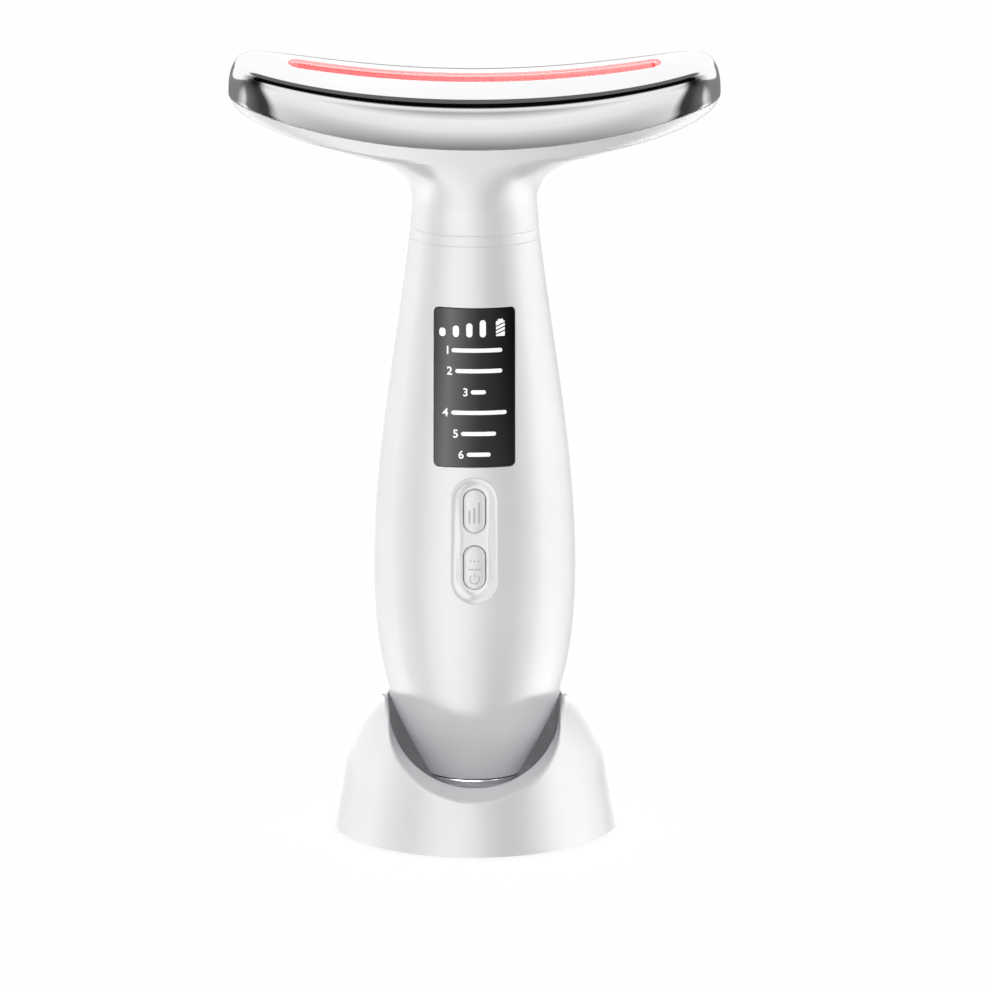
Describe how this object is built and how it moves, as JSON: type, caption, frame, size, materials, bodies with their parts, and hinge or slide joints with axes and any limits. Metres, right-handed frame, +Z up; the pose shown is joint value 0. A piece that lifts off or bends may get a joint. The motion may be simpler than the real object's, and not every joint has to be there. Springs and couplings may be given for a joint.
{
  "type": "facial toning device",
  "caption": "T-headed facial toner with a chrome massage plate and light bar, display and push buttons, seated in a weighted desk stand.",
  "frame": {"origin": "middle of the stand's foot, on the surface it stands on", "axes": "+Z up along the handset, +X along the head to the right seen from the front; the display and buttons face -Y"},
  "size_m": [0.095, 0.0556, 0.1528],
  "materials": {
    "white_shell": "moulded gloss white ABS",
    "stand_white": "moulded gloss white ABS",
    "grey_plastic": "moulded satin grey ABS",
    "chrome_plate": "polished chrome plating",
    "lit_lens": "milky light bar, lit red",
    "display_black": "gloss black acrylic window",
    "circuit_board": "green solder mask",
    "black_plastic": "black nylon",
    "steel": "plain steel",
    "ballast_iron": "raw cast",
    "foot_rubber": "soft matt rubber",
    "heat_sink_metal": "extruded aluminium",
    "gold_contact": "gold plated",
    "battery_sleeve": "metal can in a blue sleeve",
    "thermal_gum": "soft thermal pad",
    "module_ceramic": "white alumina",
    "wire_sleeve": "red silicone sleeve",
    "led_package": "LED package with phosphor",
    "ribbon_film": "amber polyimide film"
  },
  "bodies": {
    "stand": {"stand_shell": "stand_white", "stand_base_plate": "grey_plastic", "stand_ballast": "ballast_iron", "stand_foot_ring": "foot_rubber", "stand_screws": "steel"},
    "handset": {"head_plate": "chrome_plate", "led_diffuser": "lit_lens", "led_board": "circuit_board", "led_chips": "led_package", "head_frame": "grey_plastic", "electrode_pins": "gold_contact", "head_housing": "white_shell", "neck_collar": "white_shell", "front_shell": "white_shell", "rear_shell": "white_shell", "display_window": "display_black", "display_light_guide": "black_plastic", "display_board": "circuit_board", "button_surround": "white_shell", "level_switch": "black_plastic", "mode_switch": "black_plastic", "main_board": "circuit_board", "board_screws": "steel", "battery_cell": "battery_sleeve", "battery_cradle": "grey_plastic", "vibration_motor": "steel", "motor_bracket": "grey_plastic", "cooling_cap": "chrome_plate", "cap_seal": "foot_rubber", "thermoelectric_module": "module_ceramic", "thermal_pad": "thermal_gum", "heat_sink": "heat_sink_metal", "charging_board": "circuit_board", "usb_socket": "steel", "head_leads": "wire_sleeve", "display_lamps": "led_package", "display_ribbon": "ribbon_film", "board_chips": "black_plastic", "motor_leads": "wire_sleeve", "battery_leads": "wire_sleeve", "charge_leads": "wire_sleeve", "cooler_leads": "wire_sleeve"},
    "level_button": {"level_button": "white_shell"},
    "mode_button": {"mode_button": "white_shell"},
    "vibration_weight": {"motor_shaft": "steel", "eccentric_weight": "steel"}
  },
  "joints": [
    {"name": "handset_lift", "type": "slide", "parent": "stand", "child": "handset", "axis": [0, 0, 1], "range_m": [0, 0.04]},
    {"name": "level_button_press", "type": "slide", "parent": "handset", "child": "level_button", "axis": [0, 1, 0], "range_m": [0, 0.0004], "stiffness_N_per_m": 2000},
    {"name": "mode_button_press", "type": "slide", "parent": "handset", "child": "mode_button", "axis": [0, 1, 0], "range_m": [0, 0.0004], "stiffness_N_per_m": 2000},
    {"name": "motor_spin", "type": "hinge", "parent": "handset", "child": "vibration_weight", "pos_m": [0, 0.0006, 0.111], "axis": [0, 0, 1], "continuous": true}
  ]
}
